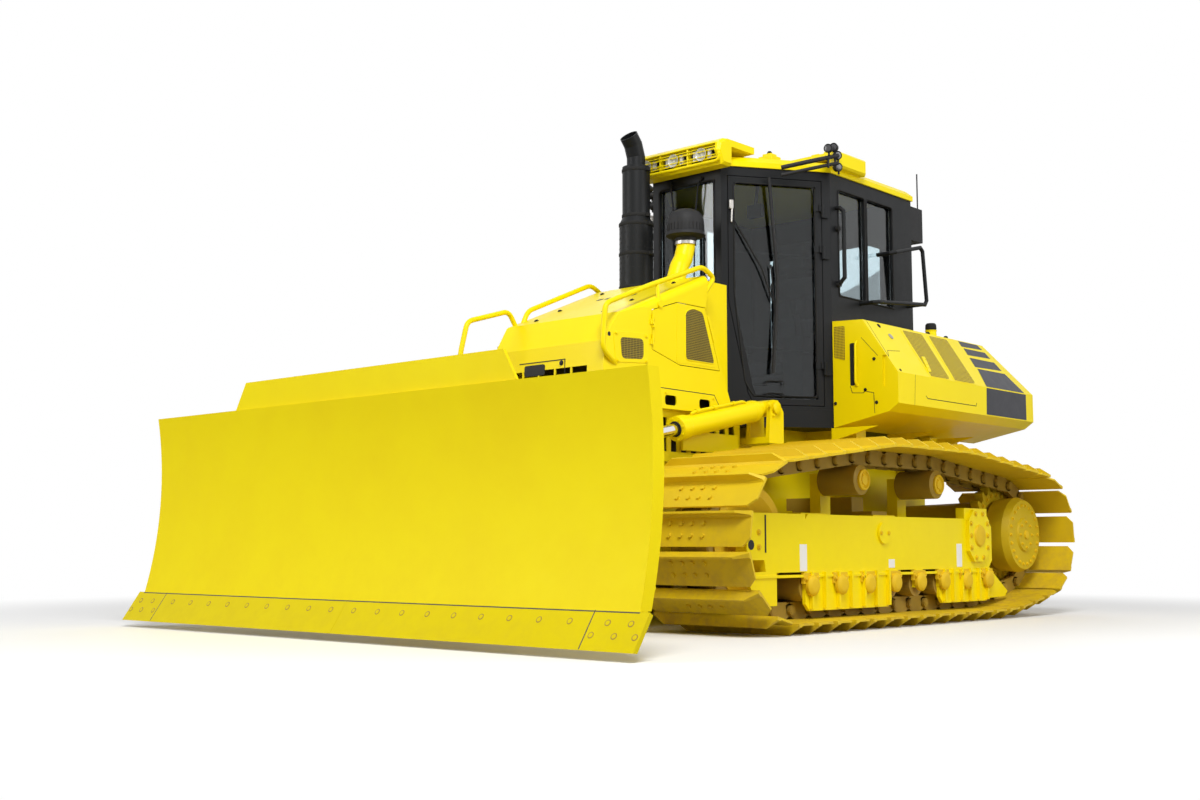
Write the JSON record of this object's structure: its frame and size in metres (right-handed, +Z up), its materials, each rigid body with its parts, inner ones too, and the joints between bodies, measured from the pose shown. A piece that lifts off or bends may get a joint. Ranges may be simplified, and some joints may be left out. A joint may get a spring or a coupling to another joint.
{
  "type": "bulldozer",
  "caption": "Crawler bulldozer on wide tracks with a blade that lifts, angles and tilts, a hexagonal cab and a sloping hood.",
  "frame": {"origin": "on the ground at the middle of the overall length and width", "axes": "+X forward to the blade, +Y to the left, +Z up"},
  "size_m": [5.517, 4.01, 3.2381],
  "materials": {
    "yellow_paint": "gloss",
    "track_steel": "satin",
    "black_paint": "satin",
    "engine_iron": "matte",
    "tinted_glass": "gloss",
    "black_plastic": "matte",
    "seat_trim": "matte",
    "radiator_core": "matte",
    "chrome_rod": "polished"
  },
  "bodies": {
    "chassis": {"main_frame": "yellow_paint", "cross_shafts": "yellow_paint", "engine": "engine_iron", "hood": "yellow_paint", "cab_floor": "black_paint", "cab_frame": "black_paint", "cab_glass": "tinted_glass", "cab_roof": "yellow_paint", "rops_beam": "yellow_paint", "light_bar": "yellow_paint", "ac_unit": "black_plastic", "cab_rails": "black_paint", "driver_seat": "seat_trim", "consoles": "black_plastic", "exhaust_stack": "black_paint", "intake_pipe": "yellow_paint", "precleaner": "black_plastic", "hood_rails": "yellow_paint", "rear_housing": "yellow_paint", "radiator": "radiator_core", "drawbar": "yellow_paint", "final_drives": "yellow_paint", "idlers": "yellow_paint", "rollers": "yellow_paint", "track_left": "track_steel", "track_frame_left": "yellow_paint", "side_box_left": "yellow_paint", "track_right": "track_steel", "track_frame_right": "yellow_paint", "side_box_right": "yellow_paint"},
    "push_frame": {"c_frame": "yellow_paint"},
    "yoke_body": {"yoke": "yellow_paint"},
    "blade": {"moldboard": "yellow_paint", "cutting_edges": "yellow_paint"},
    "tilt_barrel_body": {"tilt_barrel": "yellow_paint"},
    "tilt_rod_body": {"tilt_rod": "chrome_rod"},
    "fan_body": {"fan": "black_plastic"},
    "rear_grille_body": {"rear_grille": "black_paint"},
    "lift_barrel_body_left": {"lift_barrel_left": "yellow_paint"},
    "lift_rod_body_left": {"lift_rod_left": "chrome_rod"},
    "angle_barrel_body_left": {"angle_barrel_left": "yellow_paint"},
    "angle_rod_body_left": {"angle_rod_left": "chrome_rod"},
    "cab_door_body_left": {"cab_door_left": "black_paint", "door_glass_left": "tinted_glass"},
    "engine_door_body_left": {"engine_door_left": "yellow_paint"},
    "lift_barrel_body_right": {"lift_barrel_right": "yellow_paint"},
    "lift_rod_body_right": {"lift_rod_right": "chrome_rod"},
    "angle_barrel_body_right": {"angle_barrel_right": "yellow_paint"},
    "angle_rod_body_right": {"angle_rod_right": "chrome_rod"},
    "cab_door_body_right": {"cab_door_right": "black_paint", "door_glass_right": "tinted_glass"},
    "engine_door_body_right": {"engine_door_right": "yellow_paint"}
  },
  "joints": [
    {"name": "blade_lift", "type": "hinge", "parent": "chassis", "child": "push_frame", "pos_m": [-0.3885, 0, 0.58], "axis": [0, -1, 0], "range_deg": [-10, 20]},
    {"name": "blade_angle", "type": "hinge", "parent": "push_frame", "child": "yoke_body", "pos_m": [2.0315, 0, 0.585], "axis": [0, 0, 1], "range_deg": [-25, 25]},
    {"name": "blade_tilt", "type": "hinge", "parent": "yoke_body", "child": "blade", "pos_m": [2.2415, 0, 0.585], "axis": [1, 0, 0], "range_deg": [-7.5, 7.5]},
    {"name": "lift_barrel_swing_left", "type": "hinge", "parent": "chassis", "child": "lift_barrel_body_left", "pos_m": [-0.1885, 0.57, 1.345], "axis": [0, -1, 0], "range_deg": [-10.83, 21.67]},
    {"name": "lift_rod_slide_left", "type": "slide", "parent": "lift_barrel_body_left", "child": "lift_rod_body_left", "axis": [0.9795, 0, -0.2017], "range_m": [-0.27802, 0.13901]},
    {"name": "lift_barrel_swing_right", "type": "hinge", "parent": "chassis", "child": "lift_barrel_body_right", "pos_m": [-0.1885, -0.57, 1.345], "axis": [0, -1, 0], "range_deg": [-10.83, 21.67]},
    {"name": "lift_rod_slide_right", "type": "slide", "parent": "lift_barrel_body_right", "child": "lift_rod_body_right", "axis": [0.9795, 0, -0.2017], "range_m": [-0.27802, 0.13901]},
    {"name": "angle_barrel_swing_left", "type": "hinge", "parent": "push_frame", "child": "angle_barrel_body_left", "pos_m": [1.0415, 0.55, 0.775], "axis": [0, 0, 1], "range_deg": [-2.69, 2.69]},
    {"name": "angle_rod_slide_left", "type": "slide", "parent": "angle_barrel_body_left", "child": "angle_rod_body_left", "axis": [0.9978, 0.0659, 0], "range_m": [-0.27582, 0.27582]},
    {"name": "angle_barrel_swing_right", "type": "hinge", "parent": "push_frame", "child": "angle_barrel_body_right", "pos_m": [1.0415, -0.55, 0.775], "axis": [0, 0, 1], "range_deg": [-2.69, 2.69]},
    {"name": "angle_rod_slide_right", "type": "slide", "parent": "angle_barrel_body_right", "child": "angle_rod_body_right", "axis": [0.9978, -0.0659, 0], "range_m": [-0.27582, 0.27582]},
    {"name": "tilt_barrel_swing", "type": "hinge", "parent": "yoke_body", "child": "tilt_barrel_body", "pos_m": [2.1615, -0.42, 1], "axis": [1, 0, 0], "range_deg": [-3.73, 3.73]},
    {"name": "tilt_rod_slide", "type": "slide", "parent": "tilt_barrel_body", "child": "tilt_rod_body", "axis": [0, 1, 0], "range_m": [-0.05537, 0.05537]},
    {"name": "cab_door_swing_left", "type": "hinge", "parent": "chassis", "child": "cab_door_body_left", "pos_m": [-0.70977, 0.69982, 2.17], "axis": [0, 0, 1], "range_deg": [0, 100]},
    {"name": "cab_door_swing_right", "type": "hinge", "parent": "chassis", "child": "cab_door_body_right", "pos_m": [-0.70977, -0.69982, 2.17], "axis": [0, 0, -1], "range_deg": [0, 100]},
    {"name": "engine_door_swing_left", "type": "hinge", "parent": "chassis", "child": "engine_door_body_left", "pos_m": [0.8215, 0.498, 1.595], "axis": [0, 0, -1], "range_deg": [0, 90]},
    {"name": "engine_door_swing_right", "type": "hinge", "parent": "chassis", "child": "engine_door_body_right", "pos_m": [0.8215, -0.498, 1.595], "axis": [0, 0, 1], "range_deg": [0, 90]},
    {"name": "rear_grille_swing", "type": "hinge", "parent": "chassis", "child": "rear_grille_body", "pos_m": [-2.5765, 0.625, 1.45], "axis": [0, 0, -1], "range_deg": [0, 100]},
    {"name": "fan_spin", "type": "hinge", "parent": "chassis", "child": "fan_body", "pos_m": [-2.4385, 0, 1.44], "axis": [1, 0, 0], "continuous": true}
  ],
  "couplings": [
    {"joint": "lift_barrel_swing_left", "follows": "blade_lift", "ratio": 1.062},
    {"joint": "lift_rod_slide_left", "follows": "blade_lift", "m_per_rad": -0.78085},
    {"joint": "lift_barrel_swing_right", "follows": "blade_lift", "ratio": 1.062},
    {"joint": "lift_rod_slide_right", "follows": "blade_lift", "m_per_rad": -0.78085},
    {"joint": "angle_barrel_swing_left", "follows": "blade_angle", "ratio": 0.10567},
    {"joint": "angle_rod_slide_left", "follows": "blade_angle", "m_per_rad": -0.61974},
    {"joint": "angle_barrel_swing_right", "follows": "blade_angle", "ratio": 0.10567},
    {"joint": "angle_rod_slide_right", "follows": "blade_angle", "m_per_rad": 0.61974},
    {"joint": "tilt_barrel_swing", "follows": "blade_tilt", "ratio": 0.48821},
    {"joint": "tilt_rod_slide", "follows": "blade_tilt", "m_per_rad": -0.41472}
  ]
}
